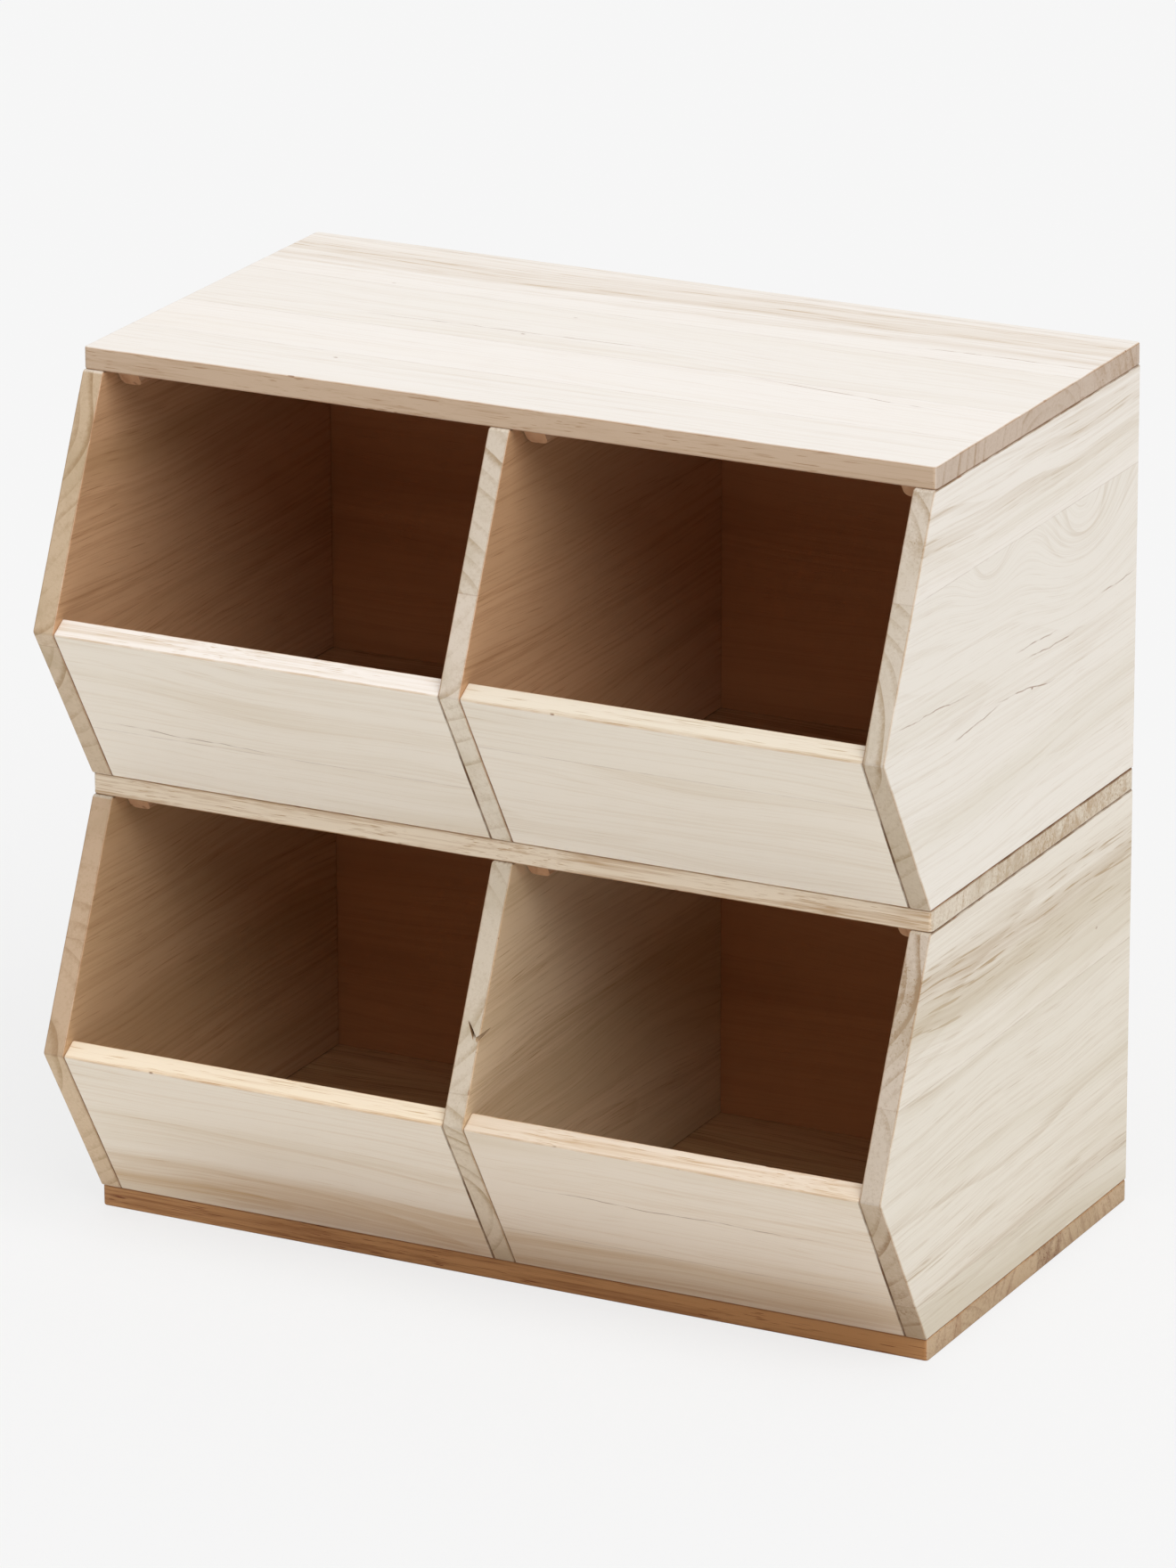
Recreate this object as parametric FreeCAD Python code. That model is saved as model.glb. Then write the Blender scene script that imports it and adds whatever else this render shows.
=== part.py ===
"""Children's toy storage: two stacked crates of two open-front bins each, and a loose lid board.

Every crate is a floor board, two sides and a divider with a forward knee, a thin back panel let into
grooves in the sides, and two slanted front panels dowelled between the uprights. The upper crate and the
lid are only laid on: cleats under them drop between the uprights below.

Millimetres. X runs across the bins, Y from the front to the back, Z up. The origin is the middle of the
footprint, at the underside of the base board.
"""

import FreeCAD, Part

import math
import os

from FreeCAD import Vector

# Overall sizes
OVERALL_WIDTH = 600.0
BOARD_DEPTH = 310.0  # lid and floor boards, front edge to back edge
UPRIGHT_HEIGHT = 272.0  # sides, divider and back panel of one crate, above its floor board
KNEE_REACH = 72.0  # how far the knee stands in front of the floor board
KNEE_HEIGHT = 116.0  # knee above the floor board
FRONT_REVEAL = 1.5  # the uprights' front corners stand this far in front of the boards

# Boards
LID_THICKNESS = 15.0
FLOOR_THICKNESS = 15.0
SIDE_THICKNESS = 15.0
DIVIDER_THICKNESS = 15.0
FRONT_PANEL_THICKNESS = 15.0
ARRIS = 1.0  # sanded edge of every board, as a chamfer
NOSE_RADIUS = 3.0  # rounder corner at the knee and at the top front of an upright

# Back panel and its grooves in the sides
BACK_PANEL_THICKNESS = 6.0
BACK_SHOULDER = 5.0  # wood left behind the groove
GROOVE_DEPTH = 6.0
GROOVE_PLAY = 0.1  # on each face of the panel
PANEL_ARRIS = 0.5
GROOVE_OVERRUN = 2.0  # the groove's cutter past the side's ends

# Cleats under the lid and under the upper crate
CLEAT_WIDTH = 15.0
CLEAT_HEIGHT = 13.0
CLEAT_SETBACK = 12.0  # from the board's front edge to the top of the cleat's nose
CLEAT_NOSE = 9.0  # the nose slopes back this far over the cleat's height
CLEAT_PLAY = 1.0  # beside the upright, and in front of the back panel
CLEAT_ROUND = 4.0

# Dowels between the front panels and the uprights
DOWEL_DIAMETER = 6.0
DOWEL_PLAY = 0.05
DOWEL_END_PLAY = 0.5
DOWEL_IN_PANEL = 15.0
DOWEL_COVER = 6.0  # wood between a dowel and a side's outer face
DOWEL_CHAMFER = 0.8
DOWEL_EDGE_DISTANCE = 34.0  # first and last dowel from the panel's long edges
DOWELS_PER_END = 2

# Screws up through a floor board into the uprights
FLOOR_SCREW_SHANK = 4.0
FLOOR_SCREW_HEAD = 8.0
FLOOR_SCREW_BITE = 23.0  # length in the upright
FLOOR_SCREW_END = 38.0  # first and last screw from the board's front and back edges
FLOOR_SCREWS_PER_UPRIGHT = 3

# Small screws: through the back panel into the divider, and up through the cleats
SMALL_SCREW_SHANK = 3.0
SMALL_SCREW_HEAD = 6.0
BACK_SCREW_BITE = 16.0  # length in the divider
BACK_SCREW_END = 40.0  # first and last screw from the panel's lower and upper edges
BACK_SCREWS = 3
CLEAT_SCREW_COVER = 6.0  # wood between a cleat screw's point and the top of the board
CLEAT_SCREW_END = 40.0  # first and last screw from the cleat's ends
CLEAT_SCREWS = 2

# All screws
HEAD_SUNK = 0.6  # head below the wood's face
BACK_HEAD_SUNK = 0.2
SCREW_PLAY = 0.05
SCREW_POINT = 3.0  # length of the pointed tip
SCREW_TIP = 0.8  # diameter at the very tip
MOUTH_OVERRUN = 1.0  # the hole's cutter past the wood's face

# Dowels, screws and their holes are round on the object. They repeat often, so each has a few flat sides.
FASTENER_SIDES = 10

UP = Vector(0, 0, 1)
FORWARD = Vector(0, -1, 0)
ALONG_X = Vector(1, 0, 0)


def knee_trim():
    """How much the rounding takes off the knee's reach."""
    slant = KNEE_REACH - FRONT_REVEAL
    to_foot = Vector(0, slant, -KNEE_HEIGHT).normalize()
    to_top = Vector(0, slant, UPRIGHT_HEIGHT - KNEE_HEIGHT).normalize()
    half = to_foot.getAngle(to_top) / 2
    bisector = (to_foot + to_top).normalize()
    return NOSE_RADIUS * (bisector.y / math.sin(half) - 1)


# Places that follow from the sizes
TOTAL_DEPTH = KNEE_REACH + BOARD_DEPTH - knee_trim()
KNEE_Y = -TOTAL_DEPTH / 2 - knee_trim()
BOARD_FRONT = KNEE_Y + KNEE_REACH
BOARD_BACK = BOARD_FRONT + BOARD_DEPTH
UPRIGHT_FRONT = BOARD_FRONT - FRONT_REVEAL
PANEL_FACE = BOARD_BACK - BACK_SHOULDER - BACK_PANEL_THICKNESS  # back panel's inner face
HALF_WIDTH = OVERALL_WIDTH / 2
INNER_X = HALF_WIDTH - SIDE_THICKNESS
DIVIDER_X = DIVIDER_THICKNESS / 2
CRATE_HEIGHT = FLOOR_THICKNESS + UPRIGHT_HEIGHT
LID_Z = 2 * CRATE_HEIGHT
DOWEL_IN_SIDE = SIDE_THICKNESS - DOWEL_COVER


def screw_kind(shank, head, length, sunk):
    return {"shank": shank, "head": head, "length": length, "sunk": sunk}


def cleat_screw(board_thickness):
    """The screw that holds a cleat under a board of that thickness."""
    length = CLEAT_HEIGHT + board_thickness - CLEAT_SCREW_COVER - HEAD_SUNK
    return screw_kind(SMALL_SCREW_SHANK, SMALL_SCREW_HEAD, length, HEAD_SUNK)


FLOOR_SCREW_LENGTH = FLOOR_THICKNESS + FLOOR_SCREW_BITE - HEAD_SUNK
BACK_SCREW_LENGTH = BACK_PANEL_THICKNESS + BACK_SCREW_BITE - BACK_HEAD_SUNK
FLOOR_SCREW = screw_kind(FLOOR_SCREW_SHANK, FLOOR_SCREW_HEAD, FLOOR_SCREW_LENGTH, HEAD_SUNK)
BACK_SCREW = screw_kind(SMALL_SCREW_SHANK, SMALL_SCREW_HEAD, BACK_SCREW_LENGTH, BACK_HEAD_SUNK)


def spread(first, last, count):
    """Evenly spaced places from first to last."""
    if count == 1:
        return [(first + last) / 2]
    return [first + (last - first) * i / (count - 1) for i in range(count)]


def group(solids):
    return Part.makeCompound(solids)


def eased_board(x0, x1, y0, y1, z0, z1, arris):
    """A rectangular board with every edge eased."""
    board = Part.makeBox(x1 - x0, y1 - y0, z1 - z0, Vector(x0, y0, z0))
    return board.makeChamfer(arris, board.Edges)


def corner_arc(before, corner, after, radius):
    """Start, middle and end of the arc that rounds a corner of an outline."""
    to_before = (before - corner).normalize()
    to_after = (after - corner).normalize()
    half = to_before.getAngle(to_after) / 2
    reach = radius / math.tan(half)
    bisector = (to_before + to_after).normalize()
    middle = corner + bisector * (radius / math.sin(half) - radius)
    return corner + to_before * reach, middle, corner + to_after * reach


def outline_wire(corners):
    """A closed wire through (y, z, radius) corners in the plane X = 0. A corner of radius 0 is sharp."""
    points = [Vector(0, y, z) for y, z, _ in corners]
    turns = []
    for i, (_, _, radius) in enumerate(corners):
        after = points[(i + 1) % len(points)]
        turns.append(corner_arc(points[i - 1], points[i], after, radius) if radius else [points[i]] * 3)
    edges = []
    for i, (start, middle, end) in enumerate(turns):
        if corners[i][2]:
            edges.append(Part.Arc(start, middle, end).toShape())
        edges.append(Part.LineSegment(end, turns[(i + 1) % len(turns)][0]).toShape())
    return Part.Wire(edges)


def is_arris(edge, corners):
    """An edge round either face of a slab, or along one of its sharp corners."""
    if edge.BoundBox.YLength + edge.BoundBox.ZLength > ARRIS:
        return True
    place = edge.CenterOfMass
    return any(not r and math.hypot(place.y - y, place.z - z) < ARRIS / 10 for y, z, r in corners)


def eased_slab(corners, x0, x1):
    """A board cut to an outline in Y and Z, from x0 to x1, with every sharp edge eased."""
    face = Part.Face(outline_wire(corners))
    face.translate(Vector(x0, 0, 0))
    slab = face.extrude(Vector(x1 - x0, 0, 0))
    return slab.makeChamfer(ARRIS, [e for e in slab.Edges if is_arris(e, corners)])


# Uprights: sides and divider


def upright_outline(z, back):
    """Five-sided outline of a side or divider that stands at height z and ends at back."""
    return [
        (UPRIGHT_FRONT, z, 0),
        (back, z, 0),
        (back, z + UPRIGHT_HEIGHT, 0),
        (UPRIGHT_FRONT, z + UPRIGHT_HEIGHT, NOSE_RADIUS),
        (KNEE_Y, z + KNEE_HEIGHT, NOSE_RADIUS),
    ]


def upright(x0, x1, z, back):
    return eased_slab(upright_outline(z, back), x0, x1)


def groove(z, inner_face, side):
    """The groove for the back panel, cut into a side's inner face and open at the top and bottom."""
    depth = GROOVE_DEPTH + GROOVE_PLAY
    x0 = inner_face if side > 0 else inner_face - depth
    width = BACK_PANEL_THICKNESS + 2 * GROOVE_PLAY
    corner = Vector(x0, PANEL_FACE - GROOVE_PLAY, z - GROOVE_OVERRUN)
    return Part.makeBox(depth, width, UPRIGHT_HEIGHT + 2 * GROOVE_OVERRUN, corner)


# Front panels


def panel_slope():
    """Unit vector up the slanted front, from the foot to the knee."""
    return Vector(0, KNEE_Y - UPRIGHT_FRONT, KNEE_HEIGHT).normalize()


def panel_inward():
    """Unit vector square to the slanted front, into the bin."""
    slope = panel_slope()
    return Vector(0, slope.z, -slope.y)


def panel_outline(z):
    """The front panel's section: square at the top, bevelled at the foot to sit on the floor board."""
    foot = Vector(0, UPRIGHT_FRONT, z)
    knee = Vector(0, KNEE_Y, z + KNEE_HEIGHT)
    top_back = knee + panel_inward() * FRONT_PANEL_THICKNESS
    foot_back = foot + Vector(0, FRONT_PANEL_THICKNESS / panel_inward().y, 0)
    return [(corner.y, corner.z, 0) for corner in (foot, foot_back, top_back, knee)]


def front_panel(x0, x1, z):
    return eased_slab(panel_outline(z), x0, x1)


# Dowels


def section(radius, height):
    """Corners of a fastener's section, at a height on its axis."""
    turns = [2 * math.pi * i / FASTENER_SIDES for i in range(FASTENER_SIDES)]
    return [Vector(radius * math.cos(turn), radius * math.sin(turn), height) for turn in turns]


def flat_face(corners):
    return Part.Face(Part.makePolygon(corners + corners[:1]))


def turned(profile, start, direction):
    """A fastener's form along a direction, from the (radius, height) pairs of its profile."""
    sections = [section(radius, height) for radius, height in profile]
    faces = [flat_face(sections[0]), flat_face(sections[-1])]
    for lower, upper in zip(sections, sections[1:]):
        for i in range(FASTENER_SIDES):
            faces.append(flat_face([lower[i - 1], lower[i], upper[i], upper[i - 1]]))
    solid = Part.makeSolid(Part.Shell(faces))
    solid.Placement = FreeCAD.Placement(start, FreeCAD.Rotation(UP, direction))
    return solid


def dowel_places(z):
    """Centres of the dowels in a panel's end, in the middle of its thickness."""
    length = math.hypot(KNEE_Y - UPRIGHT_FRONT, KNEE_HEIGHT)
    foot = Vector(0, UPRIGHT_FRONT, z) + panel_inward() * (FRONT_PANEL_THICKNESS / 2)
    along = spread(DOWEL_EDGE_DISTANCE, length - DOWEL_EDGE_DISTANCE, DOWELS_PER_END)
    return [foot + panel_slope() * s for s in along]


def dowel(x0, x1, place):
    """A wooden dowel along X with chamfered ends."""
    radius = DOWEL_DIAMETER / 2
    rim = radius - DOWEL_CHAMFER
    length = x1 - x0
    profile = [(rim, 0), (radius, DOWEL_CHAMFER), (radius, length - DOWEL_CHAMFER), (rim, length)]
    return turned(profile, Vector(x0, place.y, place.z), ALONG_X)


def dowel_hole(x0, x1, place):
    radius = DOWEL_DIAMETER / 2 + DOWEL_PLAY
    profile = [(radius, -DOWEL_END_PLAY), (radius, x1 - x0 + DOWEL_END_PLAY)]
    return turned(profile, Vector(x0, place.y, place.z), ALONG_X)


def side_dowel_spans():
    """X spans of the dowels that join the front panels to the left and right sides."""
    return [
        (-INNER_X - DOWEL_IN_SIDE, -INNER_X + DOWEL_IN_PANEL),
        (INNER_X - DOWEL_IN_PANEL, INNER_X + DOWEL_IN_SIDE),
    ]


def divider_dowel_span():
    """X span of the dowels that run through the divider into both front panels."""
    return (-DIVIDER_X - DOWEL_IN_PANEL, DIVIDER_X + DOWEL_IN_PANEL)


# Screws


def screw_profile(screw, play):
    """Profile of a countersunk screw from its head's face to its tip."""
    head = screw["head"] / 2 + play
    shank = screw["shank"] / 2 + play
    tip = screw["length"] + play
    return [(head, 0), (shank, head - shank), (shank, tip - SCREW_POINT), (SCREW_TIP / 2 + play, tip)]


def screw_solid(screw, face, direction):
    """A countersunk screw driven along direction through the board face at a point."""
    return turned(screw_profile(screw, 0), face + direction * screw["sunk"], direction)


def screw_hole(screw, face, direction):
    """The countersunk hole for that screw, open through the board face."""
    profile = screw_profile(screw, SCREW_PLAY)
    mouth = (profile[0][0], -screw["sunk"] - MOUTH_OVERRUN)
    return turned([mouth] + profile, face + direction * screw["sunk"], direction)


def drilled(board, holes):
    return board.cut(group(holes)).removeSplitter()


def floor_screw_places(z):
    """Screws up through the floor board: a row under each side and under the divider."""
    rows = (-HALF_WIDTH + SIDE_THICKNESS / 2, 0, HALF_WIDTH - SIDE_THICKNESS / 2)
    along_y = spread(BOARD_FRONT + FLOOR_SCREW_END, BOARD_BACK - FLOOR_SCREW_END, FLOOR_SCREWS_PER_UPRIGHT)
    return [Vector(x, y, z) for x in rows for y in along_y]


def back_screw_places(z):
    """Screws forward through the back panel into the divider."""
    back = PANEL_FACE + BACK_PANEL_THICKNESS
    heights = spread(z + BACK_SCREW_END, z + UPRIGHT_HEIGHT - BACK_SCREW_END, BACK_SCREWS)
    return [Vector(0, back, h) for h in heights]


# Cleats under the upper crate and the lid


def cleat_starts():
    """Left face of each cleat: inside the left side, right of the divider, inside the right side."""
    return (-INNER_X + CLEAT_PLAY, DIVIDER_X + CLEAT_PLAY, INNER_X - CLEAT_PLAY - CLEAT_WIDTH)


def runs_along_y(edge):
    box = edge.BoundBox
    return box.YLength > box.XLength + box.ZLength


def cleat(x0, z):
    """A cleat under the board whose underside is at z, rounded below and with a nose that slopes back."""
    front = BOARD_FRONT + CLEAT_SETBACK
    back = PANEL_FACE - CLEAT_PLAY
    bottom = z - CLEAT_HEIGHT
    bar = Part.makeBox(CLEAT_WIDTH, back - front, CLEAT_HEIGHT, Vector(x0, front, bottom))
    lower = [e for e in bar.Edges if runs_along_y(e) and e.CenterOfMass.z < z - CLEAT_HEIGHT / 2]
    bar = bar.makeFillet(CLEAT_ROUND, lower)
    top = Vector(x0, front, z)
    wedge = Part.makePolygon([top, Vector(x0, front + CLEAT_NOSE, bottom), Vector(x0, front, bottom), top])
    return bar.cut(Part.Face(wedge).extrude(Vector(CLEAT_WIDTH, 0, 0)))


def cleat_screw_places(z):
    """Screws up through each cleat into the board above it."""
    front = BOARD_FRONT + CLEAT_SETBACK + CLEAT_SCREW_END
    back = PANEL_FACE - CLEAT_PLAY - CLEAT_SCREW_END
    middles = [x0 + CLEAT_WIDTH / 2 for x0 in cleat_starts()]
    return [Vector(x, y, z - CLEAT_HEIGHT) for x in middles for y in spread(front, back, CLEAT_SCREWS)]


def add_cleats(nodes, names, z, board_thickness):
    """Cleats and their screws under a board. Returns the screw holes, for the board above."""
    screw = cleat_screw(board_thickness)
    places = cleat_screw_places(z)
    holes = [screw_hole(screw, place, UP) for place in places]
    nodes[names["cleats"]] = group([drilled(cleat(x0, z), holes) for x0 in cleat_starts()])
    nodes[names["screws"]] = group([screw_solid(screw, place, UP) for place in places])
    return holes


# Crates and lid


def flat_board(z, thickness):
    """Lid or floor board, as wide as the crate."""
    return eased_board(-HALF_WIDTH, HALF_WIDTH, BOARD_FRONT, BOARD_BACK, z, z + thickness, ARRIS)


def add_crate(nodes, name, z, cleats):
    """One crate whose floor board's underside is at z."""
    deck = z + FLOOR_THICKNESS
    floor_holes = [screw_hole(FLOOR_SCREW, p, UP) for p in floor_screw_places(z)]
    back_holes = [screw_hole(BACK_SCREW, p, FORWARD) for p in back_screw_places(deck)]
    places = dowel_places(deck)
    side_spans = side_dowel_spans()
    middle_span = divider_dowel_span()
    side_holes = [dowel_hole(a, b, p) for a, b in side_spans for p in places]
    middle_holes = [dowel_hole(*middle_span, p) for p in places]

    board_holes = list(floor_holes)
    if cleats:
        names = {"cleats": name + "_floor_cleats", "screws": name + "_cleat_screws"}
        board_holes += add_cleats(nodes, names, z, FLOOR_THICKNESS)
    nodes[name + "_floor_board"] = drilled(flat_board(z, FLOOR_THICKNESS), board_holes)

    left = upright(-HALF_WIDTH, -INNER_X, deck, BOARD_BACK)
    right = upright(INNER_X, HALF_WIDTH, deck, BOARD_BACK)
    divider = upright(-DIVIDER_X, DIVIDER_X, deck, PANEL_FACE)
    nodes[name + "_left_side"] = drilled(left, floor_holes + side_holes + [groove(deck, -INNER_X, -1)])
    nodes[name + "_divider"] = drilled(divider, floor_holes + back_holes + middle_holes)
    nodes[name + "_right_side"] = drilled(right, floor_holes + side_holes + [groove(deck, INNER_X, 1)])

    reach = INNER_X + GROOVE_DEPTH
    panel_back = PANEL_FACE + BACK_PANEL_THICKNESS
    back = eased_board(-reach, reach, PANEL_FACE, panel_back, deck, deck + UPRIGHT_HEIGHT, PANEL_ARRIS)
    nodes[name + "_back_panel"] = drilled(back, back_holes)

    panel_holes = side_holes + middle_holes
    nodes[name + "_left_front_panel"] = drilled(front_panel(-INNER_X, -DIVIDER_X, deck), panel_holes)
    nodes[name + "_right_front_panel"] = drilled(front_panel(DIVIDER_X, INNER_X, deck), panel_holes)

    nodes[name + "_side_dowels"] = group([dowel(a, b, p) for a, b in side_spans for p in places])
    nodes[name + "_divider_dowels"] = group([dowel(*middle_span, p) for p in places])
    nodes[name + "_floor_screws"] = group([screw_solid(FLOOR_SCREW, p, UP) for p in floor_screw_places(z)])
    back_screws = [screw_solid(BACK_SCREW, p, FORWARD) for p in back_screw_places(deck)]
    nodes[name + "_back_screws"] = group(back_screws)


def add_lid(nodes):
    names = {"cleats": "lid_cleats", "screws": "lid_cleat_screws"}
    holes = add_cleats(nodes, names, LID_Z, LID_THICKNESS)
    nodes["lid_board"] = drilled(flat_board(LID_Z, LID_THICKNESS), holes)


def build():
    nodes = {}
    add_crate(nodes, "lower", 0, cleats=False)
    add_crate(nodes, "upper", CRATE_HEIGHT, cleats=True)
    add_lid(nodes)
    return nodes


os.makedirs("parts", exist_ok=True)
for node_name, shape in build().items():
    shape.exportStep("parts/" + node_name + ".step")
    box = shape.BoundBox
    print(node_name, len(shape.Solids), "solids", round(shape.Volume), "mm3", shape.isValid(), box)
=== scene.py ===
import math

import bmesh
import bpy
from mathutils import Matrix, Vector


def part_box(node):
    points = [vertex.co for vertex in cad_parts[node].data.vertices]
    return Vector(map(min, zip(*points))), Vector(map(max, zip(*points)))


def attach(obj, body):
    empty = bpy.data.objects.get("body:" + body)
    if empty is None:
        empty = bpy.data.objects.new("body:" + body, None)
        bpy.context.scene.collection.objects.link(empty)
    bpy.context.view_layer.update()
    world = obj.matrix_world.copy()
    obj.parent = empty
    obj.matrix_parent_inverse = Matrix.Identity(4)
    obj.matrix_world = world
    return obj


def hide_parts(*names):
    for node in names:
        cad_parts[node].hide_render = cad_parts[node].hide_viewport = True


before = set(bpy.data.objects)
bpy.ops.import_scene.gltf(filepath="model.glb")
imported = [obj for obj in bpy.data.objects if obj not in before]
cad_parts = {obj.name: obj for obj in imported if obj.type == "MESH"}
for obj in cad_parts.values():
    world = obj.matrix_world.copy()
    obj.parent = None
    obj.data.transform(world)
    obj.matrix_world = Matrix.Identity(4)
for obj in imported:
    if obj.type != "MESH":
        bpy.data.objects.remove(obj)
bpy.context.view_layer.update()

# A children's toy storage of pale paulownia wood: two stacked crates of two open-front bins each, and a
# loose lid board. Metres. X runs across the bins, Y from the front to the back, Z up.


# Camera
# The photograph is taken from the front right, a little above the lid, from far off with a long lens. The
# picture is 1320 by 1760, so the sensor's long side is its height.

CAMERA_TURN = math.radians(27.124)  # to the right of straight in front
CAMERA_RISE = math.radians(18.9)
CAMERA_ROLL = math.radians(0.206)
CAMERA_DISTANCE = 5.6617
CAMERA_AIM = Vector((-0.0002, 0.0, 0.30287))
FOCAL_LENGTH = 201.35
SENSOR_SIDE = 36.0
FAR_CLIP = 60.0

to_camera = Vector((
    math.sin(CAMERA_TURN) * math.cos(CAMERA_RISE),
    -math.cos(CAMERA_TURN) * math.cos(CAMERA_RISE),
    math.sin(CAMERA_RISE),
))
level_right = Vector((math.cos(CAMERA_TURN), math.sin(CAMERA_TURN), 0.0))
turned_axes = Matrix((level_right, to_camera.cross(level_right), to_camera)).transposed()
lens = bpy.data.cameras.new("camera")
lens.lens = FOCAL_LENGTH
lens.sensor_width = SENSOR_SIDE
lens.sensor_fit = "AUTO"
lens.clip_end = FAR_CLIP
camera = bpy.data.objects.new("camera", lens)
camera.matrix_world = (
    Matrix.Translation(CAMERA_AIM + to_camera * CAMERA_DISTANCE)
    @ turned_axes.to_4x4()
    @ Matrix.Rotation(-CAMERA_ROLL, 4, "Z")
)
bpy.context.scene.collection.objects.link(camera)
bpy.context.scene.camera = camera
bpy.context.scene.view_settings.view_transform = "Standard"


# Studio light
# A pale studio: a wide soft ceiling, one large soft light above on the right, and a white floor that throws
# the light up at the slanted fronts. Camera and mirror rays see the surround as the photograph's near white.

BACKDROP = 0.905  # the near white behind the object, as a linear value
CEILING = 0.93  # strength of the light from overhead,
HORIZON = 0.20  # and from near the horizon
HORIZON_TOP = 0.25  # the one fades into the other between these heights of the sky, from 0 to 1
CEILING_EDGE = 0.85
KEY_DIRECTION = Vector((0.60, -0.36, 0.72))
KEY_STRENGTH = 1.6
KEY_SPREAD = math.radians(50.0)


def wire(tree, kind, *inputs, **settings):
    """Adds a shader node, sets its properties, and fills or joins its inputs in order."""
    made = tree.nodes.new("ShaderNode" + kind)
    for name, value in settings.items():
        setattr(made, name, value)
    for socket, value in zip(made.inputs, inputs):
        if isinstance(value, bpy.types.NodeSocket):
            tree.links.new(value, socket)
        elif value is not None:
            socket.default_value = value
    return made


def calc(tree, operation, *inputs, clamp=False):
    """The result of one Math node."""
    return wire(tree, "Math", *inputs, operation=operation, use_clamp=clamp).outputs[0]


def sees_backdrop(tree):
    """1 for the rays that should see the plain backdrop: from the camera, a mirror or through glass."""
    rays = wire(tree, "LightPath")
    seen = calc(tree, "MAXIMUM", rays.outputs["Is Camera Ray"], rays.outputs["Is Glossy Ray"])
    return calc(tree, "MAXIMUM", seen, rays.outputs["Is Transmission Ray"])


def ramp(tree, value, low, high, to_low=0.0, to_high=1.0):
    """A soft step from one value to another."""
    step = wire(tree, "MapRange", value, low, high, to_low, to_high, interpolation_type="SMOOTHSTEP")
    return step.outputs[0]


key_lamp = bpy.data.lights.new("key", "SUN")
key_lamp.energy = KEY_STRENGTH
key_lamp.angle = KEY_SPREAD
key = bpy.data.objects.new("key", key_lamp)
key.rotation_euler = KEY_DIRECTION.to_track_quat("Z", "Y").to_euler()
bpy.context.scene.collection.objects.link(key)

world = bpy.data.worlds.new("studio")
bpy.context.scene.world = world
world.use_nodes = True
surround = world.node_tree
direction = wire(surround, "TexCoord").outputs["Generated"]
height = wire(surround, "SeparateXYZ", direction).outputs["Z"]
light = ramp(surround, height, HORIZON_TOP, CEILING_EDGE, HORIZON, CEILING)
shown = wire(surround, "Mix", sees_backdrop(surround), None, light, BACKDROP, data_type="FLOAT")
glow = surround.nodes["Background"]
surround.links.new(shown.outputs[0], glow.inputs["Strength"])
glow.inputs["Color"].default_value = (1.0, 1.0, 1.0, 1.0)


# Floor
# A plain pale studio floor. Most of its brightness is the backdrop's own, and the rest takes the object's
# soft shadow. Close to the object it throws up less light, and warmer.

FLOOR_HALF = 8.0
FLOOR_GLOW = 0.743
FLOOR_SHADE = 0.17
FLOOR_BOUNCE = (0.95, 0.95, 0.95, 1.0)
NEAR_BOUNCE = (0.34, 0.18, 0.08, 1.0)
NEAR_MIDDLE = (0.05, 0.036)  # of the dim patch, in X and Y
NEAR_HALF = (0.18, 0.155)  # half its size, from where it fades
NEAR_FADE = 0.145
MIX_INPUTS = (0, 6, 7)  # a Mix node's share and its two colours
MIX_RESULT = 2


def blended(tree, share, first, second, blend="MIX"):
    """A mix of two colours."""
    made = wire(tree, "Mix", data_type="RGBA", blend_type=blend)
    for number, value in zip(MIX_INPUTS, (share, first, second)):
        if isinstance(value, bpy.types.NodeSocket):
            tree.links.new(value, made.inputs[number])
        else:
            made.inputs[number].default_value = value
    return made.outputs[MIX_RESULT]


bm = bmesh.new()
bmesh.ops.create_grid(bm, x_segments=1, y_segments=1, size=FLOOR_HALF)
floor_mesh = bpy.data.meshes.new("floor")
bm.to_mesh(floor_mesh)
bm.free()
floor = bpy.data.objects.new("floor", floor_mesh)
bpy.context.scene.collection.objects.link(floor)

floor_paint = bpy.data.materials.new("floor")
floor_paint.use_nodes = True
tree = floor_paint.node_tree
tree.nodes.remove(tree.nodes["Principled BSDF"])
shaded = wire(tree, "BsdfDiffuse", (FLOOR_SHADE, FLOOR_SHADE, FLOOR_SHADE, 1.0))
lit = wire(tree, "Emission", (1.0, 1.0, 1.0, 1.0), FLOOR_GLOW)
seen = wire(tree, "AddShader", shaded.outputs[0], lit.outputs[0])
spot = wire(tree, "SeparateXYZ", wire(tree, "TexCoord").outputs["Object"]).outputs
beyond = []
for place, middle, half in zip(spot, NEAR_MIDDLE, NEAR_HALF):
    from_middle = calc(tree, "ABSOLUTE", calc(tree, "SUBTRACT", place, middle))
    beyond.append(calc(tree, "SUBTRACT", from_middle, half))
near = ramp(tree, calc(tree, "MAXIMUM", *beyond), NEAR_FADE, 0.0)
bounce = wire(tree, "BsdfDiffuse", blended(tree, near, FLOOR_BOUNCE, NEAR_BOUNCE))
choice = wire(tree, "MixShader", sees_backdrop(tree), bounce.outputs[0], seen.outputs[0])
tree.links.new(choice.outputs[0], tree.nodes["Material Output"].inputs["Surface"])
floor_mesh.materials.append(floor_paint)


# Base board
# The board that the lower crate stands on, edge-glued from paulownia and left bare, a little redder than
# the rest. Nine countersunk screws come up through it into the sides and the divider.

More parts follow.
